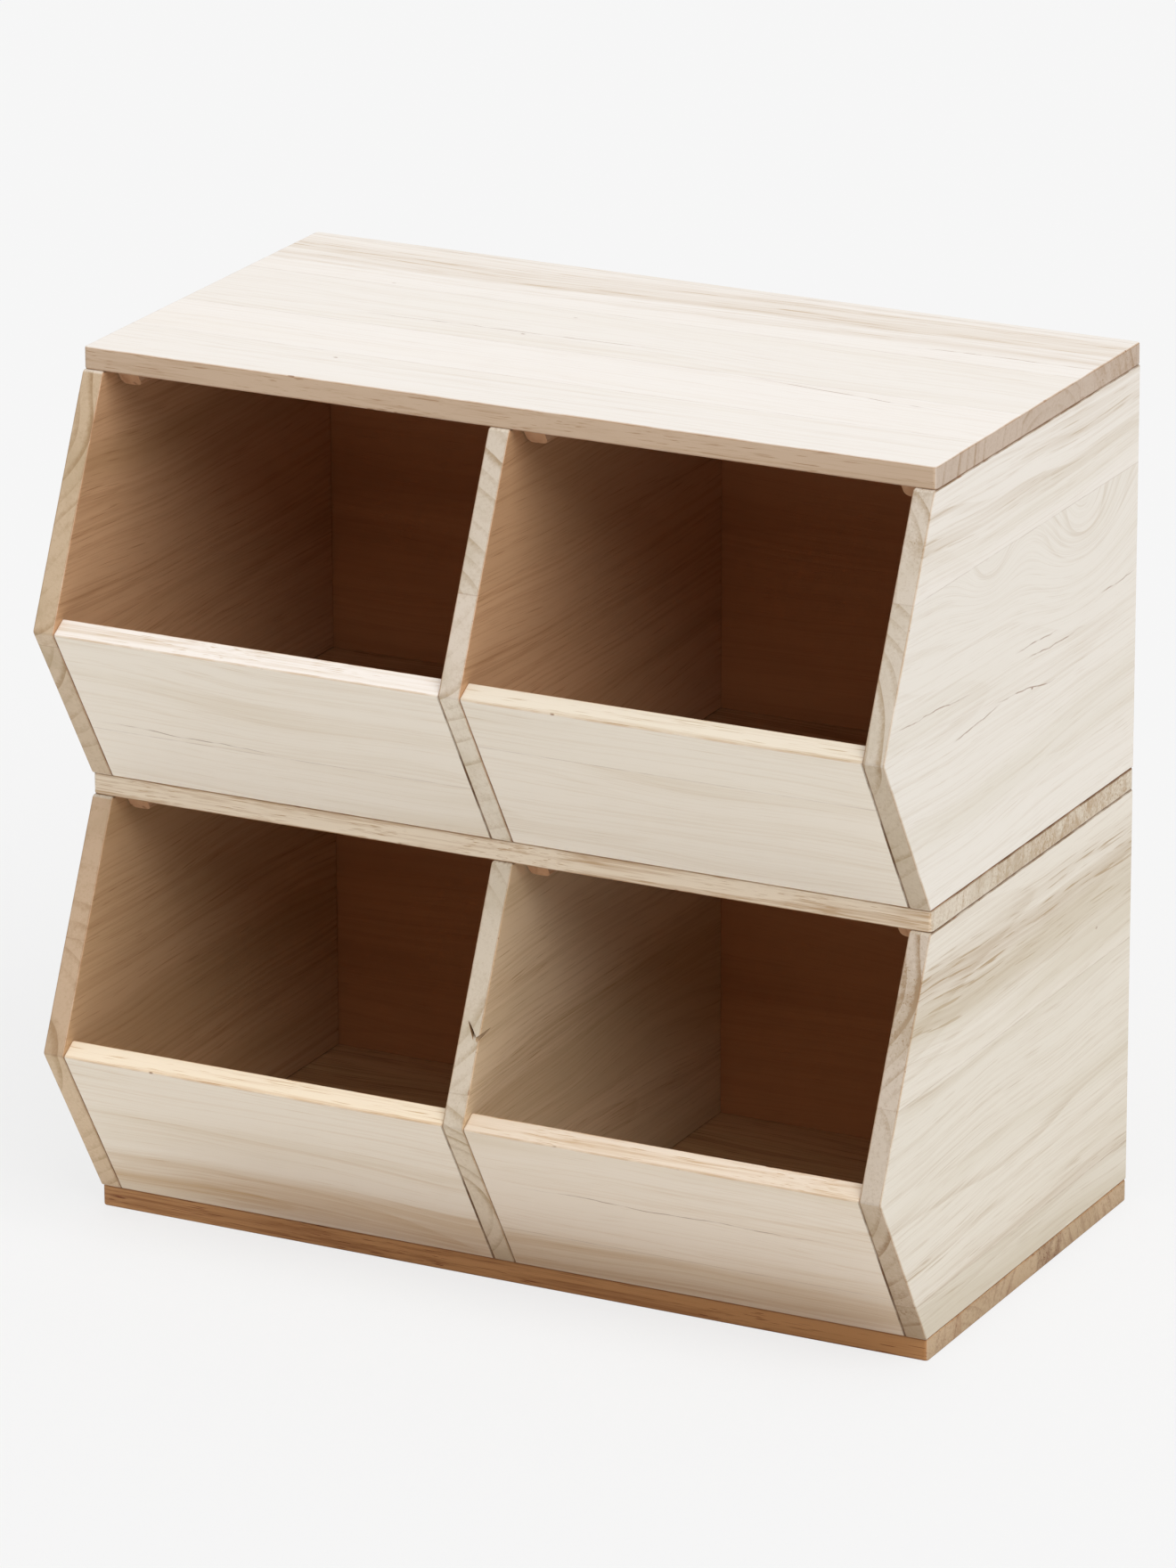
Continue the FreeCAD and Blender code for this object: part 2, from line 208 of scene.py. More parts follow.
ALONG_X = Vector((1.0, 0.0, 0.0))
ALONG_Y = Vector((0.0, 1.0, 0.0))
ALONG_Z = Vector((0.0, 0.0, 1.0))
ARRIS = 0.0013  # rounding of a sanded edge
ARRIS_STEPS = 3
CORNER_RADIUS = 0.0028
CORNER_STEPS = 4
SHARP = math.radians(40)  # a crease, where faces meet at more than this
ROUND_STEPS = 32
SAME_POINT = 1e-7
INSIDE_SHADE_TINT = {  # browner sawn faces inside the bins, darkened by painted shade
    "lower": (0.82, 0.60, 0.38, 1.0),
    "upper": (0.67, 0.43, 0.26, 1.0),
}


def srgb(red, green, blue):
    """A colour given as in a picture, 0 to 255, as linear light."""
    return tuple(((c / 255 + 0.055) / 1.055) ** 2.4 for c in (red, green, blue)) + (1.0,)


def ease(bm, radius, edges=None, steps=ARRIS_STEPS):
    """Rounds edges, or else every crease."""
    if edges is None:
        edges = [e for e in bm.edges if e.calc_face_angle() > SHARP]
    bmesh.ops.bevel(
        bm, geom=edges, offset=radius, offset_type="OFFSET", segments=steps, profile=0.5,
        affect="EDGES", clamp_overlap=True, material=-1,
    )


def block(low, high):
    """A rectangular block between two corners."""
    bm = bmesh.new()
    bmesh.ops.create_cube(bm, size=1.0)
    bmesh.ops.scale(bm, vec=high - low, verts=bm.verts)
    bmesh.ops.translate(bm, vec=(low + high) / 2, verts=bm.verts)
    return bm


def flat_board(low, high):
    """A floor or lid board, its four upright corners rounder than its other edges."""
    bm = block(low, high)
    corners = [e for e in bm.edges if e.verts[0].co.z != e.verts[1].co.z]
    ease(bm, CORNER_RADIUS, corners, CORNER_STEPS)
    ease(bm, ARRIS)
    return bm


def as_piece(bm, name):
    """Turns a bmesh into an object with smooth rounds and crisp creases."""
    mesh = bpy.data.meshes.new(name)
    bm.to_mesh(mesh)
    bm.free()
    mesh.shade_smooth()
    mesh.set_sharp_from_angle(angle=SHARP)
    piece = bpy.data.objects.new(name, mesh)
    bpy.context.scene.collection.objects.link(piece)
    return piece


def cut(piece, cutter):
    """Takes the cutter's form out of a piece, and clears the cutter away."""
    tool = piece.modifiers.new("cut", "BOOLEAN")
    tool.operation = "DIFFERENCE"
    tool.solver = "EXACT"
    tool.object = cutter
    solid = piece.evaluated_get(bpy.context.evaluated_depsgraph_get())
    mesh = bpy.data.meshes.new_from_object(solid)
    piece.modifiers.clear()
    piece.data = mesh
    mesh.set_sharp_from_angle(angle=SHARP)
    bpy.data.objects.remove(cutter)


def fit(piece, node, body, material):
    """Lets a finished piece stand for its CAD node."""
    piece.data.materials.clear()
    piece.data.materials.append(material)
    even = piece.modifiers.new("even_shading", "WEIGHTED_NORMAL")
    even.keep_sharp = True
    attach(piece, body)
    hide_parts(node)


def turned(profile):
    """A closed round form about Z. Its profile, as (radius, height) pairs, starts and ends on Z."""
    bm = bmesh.new()
    points = [bm.verts.new((radius, 0.0, height)) for radius, height in profile]
    line = [bm.edges.new(pair) for pair in zip(points, points[1:])]
    bmesh.ops.spin(
        bm, geom=points + line, cent=(0, 0, 0), axis=ALONG_Z, angle=2 * math.pi, steps=ROUND_STEPS,
        use_merge=True,
    )
    bmesh.ops.remove_doubles(bm, verts=bm.verts, dist=SAME_POINT)
    bmesh.ops.recalc_face_normals(bm, faces=bm.faces)
    return bm


def set_out(form, places, direction):
    """One mesh with a copy of a form at each place, its +Z turned to the direction. Frees the form."""
    one = bpy.data.meshes.new("one")
    form.to_mesh(one)
    form.free()
    turn = direction.to_track_quat("Z", "X").to_matrix().to_4x4()
    bm = bmesh.new()
    for place in places:
        first = len(bm.verts)
        bm.from_mesh(one)
        bm.verts.ensure_lookup_table()
        bmesh.ops.transform(bm, matrix=Matrix.Translation(place) @ turn, verts=bm.verts[first:])
    bpy.data.meshes.remove(one)
    return bm


def dot(tree, vector, axis):
    """How far a vector reaches along an axis."""
    return wire(tree, "VectorMath", vector, axis, operation="DOT_PRODUCT").outputs["Value"]


def stretched_noise(tree, place, stretch, detail, roughness):
    """Noise with its own scale along the grain, across it and through the board, in cycles per metre."""
    scaled = wire(tree, "VectorMath", place, stretch, operation="MULTIPLY").outputs[0]
    texture = wire(tree, "TexNoise", noise_dimensions="3D")
    tree.links.new(scaled, texture.inputs["Vector"])
    texture.inputs["Scale"].default_value = 1.0
    texture.inputs["Detail"].default_value = detail
    texture.inputs["Roughness"].default_value = roughness
    return texture.outputs[0]


def random_of(tree, number):
    """The random value and colour that belong to a number."""
    return wire(tree, "TexWhiteNoise", None, number, noise_dimensions="1D").outputs


def total(tree, first, *others):
    """The sum of several values."""
    for value in others:
        first = calc(tree, "ADD", first, value)
    return first


# The patterns in the wood, each with its scale, detail and roughness
WANDER = ((2.2, 7.0, 7.0), 2.0, 0.5)  # of the grain, to and fro across the board
STREAKS = ((1.6, 62.0, 62.0), 4.0, 0.62)
FIBRES = ((3.2, 420.0, 420.0), 4.0, 0.68)
VESSELS = ((30.0, 1300.0, 1300.0), 1.0, 0.5)
RING_PATCHES = ((1.2, 16.0, 16.0), 2.0, 0.5)
CLOUDS = ((5.0, 17.0, 17.0), 3.0, 0.5)
DASHES = ((18.0, 600.0, 600.0), 2.0, 0.5)
STAINS = ((1.2, 20.0, 20.0), 3.0, 0.55)
TREMBLE = ((22.0, 6.0, 6.0), 3.0, 0.5)  # of the cracks
LINE_PATCHES = ((60.0, 8.0, 8.0), 2.0, 0.5)
ARRIS_WEAR_AND_SHADE = ((40.0, 40.0, 40.0), 3.0, 0.6)
NICKS = ((70.0, 110.0, 110.0), 2.0, 0.5)

# From where to where a pattern counts, none to all or between two shares
VESSEL_RANGE = (0.62, 0.74)
RING_PATCH_RANGE = (0.35, 0.65, 0.2, 1.0)
DASH_RANGE = (0.58, 0.68)
STAIN_RANGE = (0.48, 0.70)
LINE_PATCH_RANGE = (0.35, 0.6, 0.15, 0.75)
ARRIS_WEAR_AND_SHADE_RANGE = (0.3, 0.65, 0.35, 1.0)
NICK_RANGE = (0.66, 0.72)
SHEEN_RANGE = (0.3, 0.7, 0.56, 0.72)  # to the shader's roughness

# The same for the way a face looks, as the cosine of its turn from an axis
FACE_RANGE = (0.5, 0.9)  # along the grain, or in an inside direction
EDGE_RANGE = (0.85, 0.35)  # away from the board's thickness
ARRIS_FROM = (0.06, 0.3)  # an arris lies between the edge
ARRIS_TO = (0.99, 0.92)  # and the board's face
BESIDE_END_RANGE = (0.1, 0.3)
DOWN_RANGE = (0.1, 0.4)

RING_WIDTH = 0.010  # a year's growth
RING_DARKENS = (0.45, 0.96)  # over these shares of the year
RING_ENDS = (1.0, 0.95)
RING_FUZZ = 0.0012
YEAR_CONTRAST = 1.3
TAPER = 0.03  # of the log, which makes its rings run out on the face
PITH_ASIDE = 0.12  # the log's middle lies up to this far to either side,
PITH_BELOW = 0.02  # and this deep at least
PITH_SPREAD = 0.06
STRIP_SHIFT = 9.0  # the strips come from this far apart along the log
STRIP_WARMTH = 1.3  # darker strips are warmer too
SAME_STRIP = 0.1
WAVER_REACH = 0.05
WHORL_STRETCH = 0.6
STREAK_MIDDLE = 0.46
STRIPE_WAVER = 0.2
STRIPE_STREAKS = 1.6
STRIPE_CORE = 0.4  # the heartwood is darkest over this share of its half width
END_SAWN = 0.2  # how rough these are beside the faces left as sawn
EDGE_SAWN = 1.6
STREAK_MARKS = (0.4, 1.5)  # how dark on rough wood, and everywhere for a share of 1
FIBRE_MARKS = (1.1, 1.6)
VESSEL_MARKS = (0.45, 0.4)
WARM_DASHES = 2.0
GLUE_MARK = 0.4
HAIRLINE_HALF = 0.0007
HAIRLINE_FADE = 0.3  # of its length, at each end
TREMBLE_REACH = 0.008
PIN_RADIUS = 0.0013
PIN_STRETCH = 0.6
FIBRE_RISE = 0.6
RING_SINK = -0.1
VESSEL_SINK = -0.3
MARK_SINK = -0.5
BUMP_STRENGTH = 0.35
BUMP_HEIGHT = 0.00035
MARK_BROWN = srgb(138, 94, 58)
ARRIS_TINT = (0.80, 0.68, 0.57, 1.0)  # the sanded edges are a little browner
AS_IS = (1.0, 1.0, 1.0, 1.0)


def glued_strips(tree, over, seams, seed):
    """The number of the strip of log that a point lies in, and 1 on the glue lines."""
    strip = seed
    glue = 0.0
    for seam in seams:
        strip = calc(tree, "ADD", strip, calc(tree, "GREATER_THAN", over, seam))
        off_seam = calc(tree, "ABSOLUTE", calc(tree, "SUBTRACT", over, seam))
        glue = calc(tree, "MAXIMUM", glue, ramp(tree, off_seam, HAIRLINE_HALF, 0.0))
    return strip, glue


def whorled(tree, along, over, strip, seed, whorls):
    """How far the grain swells aside round its whorls, and 1 in their middles."""
    swell = 0.0
    near_whorl = 0.0
    for whorl_along, whorl_over, size, rise, number in whorls:
        run = calc(tree, "MULTIPLY", calc(tree, "SUBTRACT", along, whorl_along), WHORL_STRETCH / size)
        side = calc(tree, "MULTIPLY", calc(tree, "SUBTRACT", over, whorl_over), 1.0 / size)
        apart = calc(tree, "MULTIPLY_ADD", run, run, calc(tree, "MULTIPLY", side, side))
        hump = calc(tree, "EXPONENT", calc(tree, "MULTIPLY", apart, -1.0))
        hump = calc(tree, "MULTIPLY", hump, calc(tree, "COMPARE", strip, seed + number, SAME_STRIP))
        swell = calc(tree, "MULTIPLY_ADD", hump, rise, swell)
        near_whorl = calc(tree, "MAXIMUM", near_whorl, hump)
    return swell, near_whorl


def year_rings(tree, along, over, deep, waver, fine, luck):
    """The dark late wood of the log's rings, strong in some years and weak in others."""
    aside = calc(tree, "ADD", over, calc(tree, "MULTIPLY_ADD", luck[0], -2 * PITH_ASIDE, PITH_ASIDE))
    below = calc(tree, "ADD", deep, calc(tree, "MULTIPLY_ADD", luck[1], PITH_SPREAD, PITH_BELOW))
    squared = calc(tree, "MULTIPLY_ADD", aside, aside, calc(tree, "MULTIPLY", below, below))
    radius = total(tree, calc(tree, "SQRT", squared), calc(tree, "MULTIPLY", along, TAPER), waver)
    rings = calc(tree, "DIVIDE", calc(tree, "MULTIPLY_ADD", fine, RING_FUZZ, radius), RING_WIDTH)
    year = calc(tree, "FRACT", rings)
    late = calc(tree, "MULTIPLY", ramp(tree, year, *RING_DARKENS), ramp(tree, year, *RING_ENDS))
    strength = random_of(tree, calc(tree, "FLOOR", rings))["Value"]
    return calc(tree, "MULTIPLY", late, calc(tree, "POWER", strength, YEAR_CONTRAST))


def marked(tree, pattern, rough, on_rough, everywhere):
    """How much a pattern darkens the wood, more where it is rough."""
    return calc(tree, "MULTIPLY", pattern, calc(tree, "MULTIPLY_ADD", rough, on_rough, everywhere))


def hairline(tree, along, over, start, side, length, slope):
    """1 on a fine line that runs nearly with the grain from a starting place, and fades at its ends."""
    run = calc(tree, "SUBTRACT", along, start)
    off = calc(tree, "SUBTRACT", over, calc(tree, "MULTIPLY_ADD", run, slope, side))
    line = ramp(tree, calc(tree, "ABSOLUTE", off), HAIRLINE_HALF, 0.0)
    fade = length * HAIRLINE_FADE
    ends = calc(tree, "MULTIPLY", ramp(tree, run, 0.0, fade), ramp(tree, run, length, length - fade))
    return calc(tree, "MULTIPLY", line, ends)


def speck(tree, along, over, place):
    """1 on a pin knot."""
    run = calc(tree, "MULTIPLY", calc(tree, "SUBTRACT", along, place[0]), PIN_STRETCH)
    side = calc(tree, "SUBTRACT", over, place[1])
    apart = calc(tree, "MULTIPLY_ADD", run, run, calc(tree, "MULTIPLY", side, side))
    return ramp(tree, apart, PIN_RADIUS ** 2, 0.0)


def paulownia(
    name, middle, grain, across, light, dark, stain, edge_tint, end_tint, inside=(), inner_shade_tint=None,
    edge_arris=ARRIS_TINT, end_arris=ARRIS_TINT, under_lighting_tint=None, seams=(), whorls=(), heartwood=(),
    cracks=(), pins=(), seed=0.0, figure=0.35, end_rings=0.9, fibres=0.5, bands=0.5, dashes=0.0,
    clouds=0.15, stain_share=0.5, mismatch=0.08, saw_marks=1.0,
):
    """Bare sanded paulownia, as a solid cut from glued strips of log, so that its rings go round the edges.

    All places are (along, across) the board from its middle. seams are the glue lines' places across it,
    whorls are (along, across, size, rise, strip), heartwood stripes are (across, half width, strength), and
    cracks are (along, across, length, slope). The tints multiply the colour on the long edges, on the end
    grain, on the arrises beside them, on the end grain that looks down, and on the faces that look in the
    directions of inside, which are left as sawn. The tint on the end grain that looks down is painted light
    and shade, the one on the faces inside is partly painted shade of the bins, and an arris tint is painted
    shade where it lies in a joint between two boards. figure and end_rings are how dark the rings are on the
    face and on the end grain. fibres, bands, dashes and clouds are how dark the fine fibres, the broad
    streaks, the short dashes and the soft clouds are. stain_share is how far stain greys the wood, mismatch
    how much the strips differ, and saw_marks how rough the faces inside are.
    """
    material = bpy.data.materials.new(name)
    material.use_nodes = True
    tree = material.node_tree
    shader = tree.nodes["Principled BSDF"]
    through = grain.cross(across)
    spot = wire(tree, "TexCoord")
    centred = wire(tree, "VectorMath", spot.outputs["Object"], middle, operation="SUBTRACT").outputs[0]
    along, over, deep = (dot(tree, centred, axis) for axis in (grain, across, through))

    # Each strip is another stretch of the log, with a grain that wanders
    strip, glue = glued_strips(tree, over, seams, seed)
    luck = wire(tree, "SeparateColor", random_of(tree, strip)["Color"]).outputs
    shifted = calc(tree, "MULTIPLY_ADD", luck[2], STRIP_SHIFT, along)
    place = wire(tree, "CombineXYZ", shifted, over, deep).outputs[0]
    wander = stretched_noise(tree, place, *WANDER)
    swell, near_whorl = whorled(tree, along, over, strip, seed, whorls)
    waver = calc(tree, "ADD", calc(tree, "MULTIPLY_ADD", wander, WAVER_REACH, -WAVER_REACH / 2), swell)

    # Streaks, fibres, vessels and rings follow the grain
    followed = wire(tree, "CombineXYZ", shifted, calc(tree, "ADD", over, waver), deep).outputs[0]
    broad = calc(tree, "SUBTRACT", stretched_noise(tree, followed, *STREAKS), STREAK_MIDDLE)
    fibre = stretched_noise(tree, followed, *FIBRES)
    fine = calc(tree, "SUBTRACT", fibre, 0.5)
    vessel = ramp(tree, stretched_noise(tree, followed, *VESSELS), *VESSEL_RANGE)
    patches = ramp(tree, stretched_noise(tree, place, *RING_PATCHES), *RING_PATCH_RANGE)
    late = year_rings(tree, along, over, deep, waver, fine, luck)
    late = calc(tree, "MULTIPLY", late, calc(tree, "MAXIMUM", patches, near_whorl))
    warm = 0.0
    for stripe, half, share in heartwood:
        off = calc(tree, "ABSOLUTE", total(tree, over, calc(tree, "MULTIPLY", waver, STRIPE_WAVER), -stripe))
        streaky = calc(tree, "MULTIPLY_ADD", broad, STRIPE_STREAKS, share)
        warm = calc(tree, "MULTIPLY_ADD", ramp(tree, off, half, STRIPE_CORE * half), streaky, warm)

    # The end grain, the long edges, the arrises, and the faces inside the bins
    normal = spot.outputs["Normal"]
    facing = calc(tree, "ABSOLUTE", dot(tree, normal, through))
    endwise = calc(tree, "ABSOLUTE", dot(tree, normal, grain))
    on_end = ramp(tree, endwise, *FACE_RANGE)
    on_edge = calc(tree, "SUBTRACT", ramp(tree, facing, *EDGE_RANGE), on_end, clamp=True)
    on_arris = calc(tree, "MULTIPLY", ramp(tree, facing, *ARRIS_FROM), ramp(tree, facing, *ARRIS_TO))
    within = 0.0
    for way in inside:
        within = calc(tree, "MAXIMUM", within, ramp(tree, dot(tree, normal, way), *FACE_RANGE))
    sawn = calc(tree, "MULTIPLY_ADD", on_edge, EDGE_SAWN, calc(tree, "MULTIPLY", on_end, END_SAWN))
    sawn = calc(tree, "MULTIPLY_ADD", within, saw_marks, sawn)

    # From light wood to dark, greyed in places, and each strip in its own shade
    cloudy = calc(tree, "MULTIPLY_ADD", stretched_noise(tree, place, *CLOUDS), clouds, -0.5 * clouds)
    tone = total(
        tree,
        marked(tree, late, on_end, end_rings, figure),
        marked(tree, broad, sawn, STREAK_MARKS[0], STREAK_MARKS[1] * bands),
        marked(tree, fine, sawn, FIBRE_MARKS[0], FIBRE_MARKS[1] * fibres),
        marked(tree, vessel, sawn, VESSEL_MARKS[0], VESSEL_MARKS[1] * fibres),
        warm,
        cloudy,
    )
    if dashes:
        dash = ramp(tree, stretched_noise(tree, followed, *DASHES), *DASH_RANGE)
        tone = calc(tree, "ADD", tone, marked(tree, dash, warm, WARM_DASHES, dashes))
    colour = blended(tree, calc(tree, "ADD", tone, 0.0, clamp=True), light, dark)
    grey = ramp(tree, stretched_noise(tree, followed, *STAINS), *STAIN_RANGE, 0.0, stain_share)
    colour = blended(tree, grey, colour, stain)
    shade = calc(tree, "MULTIPLY_ADD", luck[2], mismatch, 1.0 - mismatch / 2)
    shades = wire(tree, "CombineColor", shade, shade, calc(tree, "POWER", shade, STRIP_WARMTH)).outputs[0]
    colour = blended(tree, 1.0, colour, shades, "MULTIPLY")

    # The tints of the edges, ends, inner faces and arrises. The end grain that looks down takes painted light
    # and shade, the inner faces painted shade, and some arrises painted shade where two boards meet.
    washed = blended(tree, on_edge, AS_IS, edge_tint)
    # painted light and shade: the end grain that looks down takes its own tint
    looks_down = ramp(tree, dot(tree, normal, -ALONG_Z), *DOWN_RANGE)
    washed = blended(tree, on_end, washed, blended(tree, looks_down, end_tint, under_lighting_tint or end_tint))
    if inside:
        washed = blended(tree, within, washed, inner_shade_tint)
    arris_tint = blended(tree, ramp(tree, endwise, *BESIDE_END_RANGE), edge_arris, end_arris)
    # Patches on the arrises: wear, and painted shade where the arris tint is a joint's.
    wear_and_shade_patches = ramp(tree, stretched_noise(tree, centred, *ARRIS_WEAR_AND_SHADE), *ARRIS_WEAR_AND_SHADE_RANGE)
    washed = blended(tree, calc(tree, "MULTIPLY", on_arris, wear_and_shade_patches), washed, arris_tint, "MULTIPLY")
    colour = blended(tree, 1.0, colour, washed, "MULTIPLY")

    # Brown marks: nicks, glue lines, cracks and pin knots
    nick = ramp(tree, stretched_noise(tree, centred, *NICKS), *NICK_RANGE)
    marks = [calc(tree, "MULTIPLY", on_arris, nick)]
    if seams:
        marks.append(calc(tree, "MULTIPLY", glue, GLUE_MARK))
    tremble = stretched_noise(tree, place, *TREMBLE)
    wobbly = total(tree, over, calc(tree, "MULTIPLY_ADD", tremble, TREMBLE_REACH, -TREMBLE_REACH / 2))
    marks += [hairline(tree, along, wobbly, *crack) for crack in cracks]
    marks += [speck(tree, along, over, pin) for pin in pins]
    mark = 0.0
    for each in marks:
        mark = calc(tree, "MAXIMUM", mark, each)
    patchy = ramp(tree, stretched_noise(tree, place, *LINE_PATCHES), *LINE_PATCH_RANGE)
    colour = blended(tree, calc(tree, "MULTIPLY", mark, patchy), colour, MARK_BROWN)
    tree.links.new(colour, shader.inputs["Base Color"])

    tree.links.new(ramp(tree, fibre, *SHEEN_RANGE), shader.inputs["Roughness"])
    height = total(
        tree, calc(tree, "MULTIPLY", fibre, FIBRE_RISE), calc(tree, "MULTIPLY", late, RING_SINK),
        calc(tree, "MULTIPLY", vessel, VESSEL_SINK), calc(tree, "MULTIPLY", mark, MARK_SINK),
    )
    bump = wire(tree, "Bump")
    bump.inputs["Strength"].default_value = BUMP_STRENGTH
    bump.inputs["Distance"].default_value = BUMP_HEIGHT
    tree.links.new(height, bump.inputs["Height"])
    tree.links.new(bump.outputs[0], shader.inputs["Normal"])
    return material


SIDE_THICKNESS = 0.015
FLOOR_SCREW_HEAD = 0.004  # radius
FLOOR_SCREW_SHANK = 0.002  # radius
FLOOR_SCREW_SINK = 0.0006  # below the board's face
FLOOR_SCREW_LENGTH = 0.0374
FLOOR_SCREW_END = 0.038  # first and last screw from the board's front and back edges
SCREW_PLAY = 0.00005
CUTTER_OVERRUN = 0.001


def screw_places(low, high):
    """Centres on a board's underside: three along each side and three under the divider."""
    inset = SIDE_THICKNESS / 2
    columns = (low.x + inset, 0.0, high.x - inset)
    rows = (low.y + FLOOR_SCREW_END, (low.y + high.y) / 2, high.y - FLOOR_SCREW_END)
    return [Vector((x, y, low.z)) for x in columns for y in rows]


def screw_hole(head, shank, length, sink):
    """The countersunk hole for a screw, about +Z from the board's face."""
    head += SCREW_PLAY
    shank += SCREW_PLAY
    return turned([
        (0.0, -CUTTER_OVERRUN), (head, -CUTTER_OVERRUN), (head, sink), (shank, sink + head - shank),
        (shank, sink + length), (0.0, sink + length),
    ])


base_low, base_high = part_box("lower_floor_board")
base_board = as_piece(flat_board(base_low, base_high), "base_board")
hole = screw_hole(FLOOR_SCREW_HEAD, FLOOR_SCREW_SHANK, FLOOR_SCREW_LENGTH, FLOOR_SCREW_SINK)
holes = set_out(hole, screw_places(base_low, base_high), ALONG_Z)
cut(base_board, as_piece(holes, "holes"))
# The front edge's dark red-brown tint is partly the board's own colour and partly painted shade near the
# floor.
base_wood = paulownia(
    "base_wood", (base_low + base_high) / 2, ALONG_X, ALONG_Y,
    light=srgb(222, 204, 180), dark=srgb(144, 100, 64), stain=srgb(186, 152, 118),
    edge_tint=(0.62, 0.378, 0.187, 1.0), end_tint=(0.68, 0.60, 0.49, 1.0), heartwood=((0.033, 0.024, 0.22),),
    inside=(ALONG_Z,), inner_shade_tint=INSIDE_SHADE_TINT["lower"], seams=(-0.105, -0.062, 0.012, 0.041, 0.109), seed=3.0,
    mismatch=0.12, dashes=0.25, clouds=0.4, end_rings=0.3,
)
fit(base_board, "lower_floor_board", "lower_crate", base_wood)


# Sides and dividers
# Each crate stands on two sides and a divider, five-cornered paulownia boards with a knee that leans out in
# front. Their grain runs from front to back, so their sloping front edges show oblique end grain. They are
# screwed to the floor board from below, and the sides are grooved for the back panel.

KNEE_REACH = 0.072  # in front of the floor board
KNEE_HEIGHT = 0.116  # above the floor board
FRONT_REVEAL = 0.0015  # the uprights' front corners stand in front of the floor board
NOSE_RADIUS = 0.003
NOSE_STEPS = 6
GROOVE_DEPTH = 0.006
GROOVE_PLAY = 0.0001
GROOVE_GAP = 0.0012  # in front of the panel, a dark line in each bin's back corners
UPRIGHT_HEIGHT = 0.272
SPLIT_RISE = 0.057  # from the knee along the front edge to the split's tip
SPLIT_FROM_ARRIS = 0.0027
SPLIT_LENGTH = 0.013
SPLIT_LEAN = 0.6  # how far its upper arm leans from the arris, as a share of its length
SPLIT_INSIDE = 1.3  # how far it runs on the inner face, as a share of its length
SPLIT_WIDTH = 0.0030
SPLIT_HALVES = (SPLIT_WIDTH / 2, SPLIT_WIDTH / 8, SPLIT_WIDTH / 3)  # half width at each arm's three corners
SPLIT_PROUD = SPLIT_WIDTH / 4
SPLIT_DEPTH = 0.006
JOINT_SHADE_TINT = (0.36, 0.25, 0.16, 1.0)  # painted shade on the arrises where two boards meet

board_front = base_low.y
upright_front = board_front - FRONT_REVEAL
knee_front = board_front - KNEE_REACH


def slab(outline, x0, x1):
    """A board cut to an outline in Y and Z, from x0 to x1."""
    bm = bmesh.new()
    face = bm.faces.new([bm.verts.new((x0, y, z)) for y, z in outline])
    pulled = bmesh.ops.extrude_face_region(bm, geom=[face])["geom"]
    far = [v for v in pulled if isinstance(v, bmesh.types.BMVert)]
    bmesh.ops.translate(bm, verts=far, vec=(x1 - x0, 0, 0))
    bmesh.ops.recalc_face_normals(bm, faces=bm.faces)
    return bm


def upright(node, name, crate_screws):
    """A side or divider in its CAD node's place, with its front corners rounder than its other edges."""
    low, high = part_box(node)
    knee_z = low.z + KNEE_HEIGHT
    top_corner, knee_corner = (upright_front, high.z), (knee_front, knee_z)
    outline = [(upright_front, low.z), (high.y, low.z), (high.y, high.z), top_corner, knee_corner]
    bm = slab(outline, low.x, high.x)
    noses = []
    for edge in bm.edges:
        first, second = (v.co for v in edge.verts)
        off_corners = [(first.yz - Vector(corner)).length for corner in (top_corner, knee_corner)]
        if first.x != second.x and min(off_corners) < NOSE_RADIUS:
            noses.append(edge)
    for edge in noses:
        reach = NOSE_RADIUS * math.tan(edge.calc_face_angle() / 2)
        ease(bm, reach, [edge], NOSE_STEPS)
    ease(bm, ARRIS)
    piece = as_piece(bm, name)
    radius = FLOOR_SCREW_SHANK + SCREW_PLAY
    hole = turned([
        (0.0, -CUTTER_OVERRUN), (radius, -CUTTER_OVERRUN), (radius, FLOOR_SCREW_LENGTH),
        (0.0, FLOOR_SCREW_LENGTH),
    ])
    near = [p for p in crate_screws if low.x < p.x < high.x]
    cut(piece, as_piece(set_out(hole, near, ALONG_Z), "holes"))
    return piece


def groove(node, inner_x, panel_low, panel_high):
    """The cutter for the back panel's groove in a side."""
    low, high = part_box(node)
    outward = 1.0 if inner_x > 0 else -1.0
    bottom = inner_x + outward * (GROOVE_DEPTH + GROOVE_PLAY)
    mouth = inner_x - outward * CUTTER_OVERRUN
    first = Vector((min(bottom, mouth), panel_low.y - GROOVE_GAP, low.z - CUTTER_OVERRUN))
    last = Vector((max(bottom, mouth), panel_high.y + GROOVE_PLAY, high.z + CUTTER_OVERRUN))
    return as_piece(block(first, last), "groove")


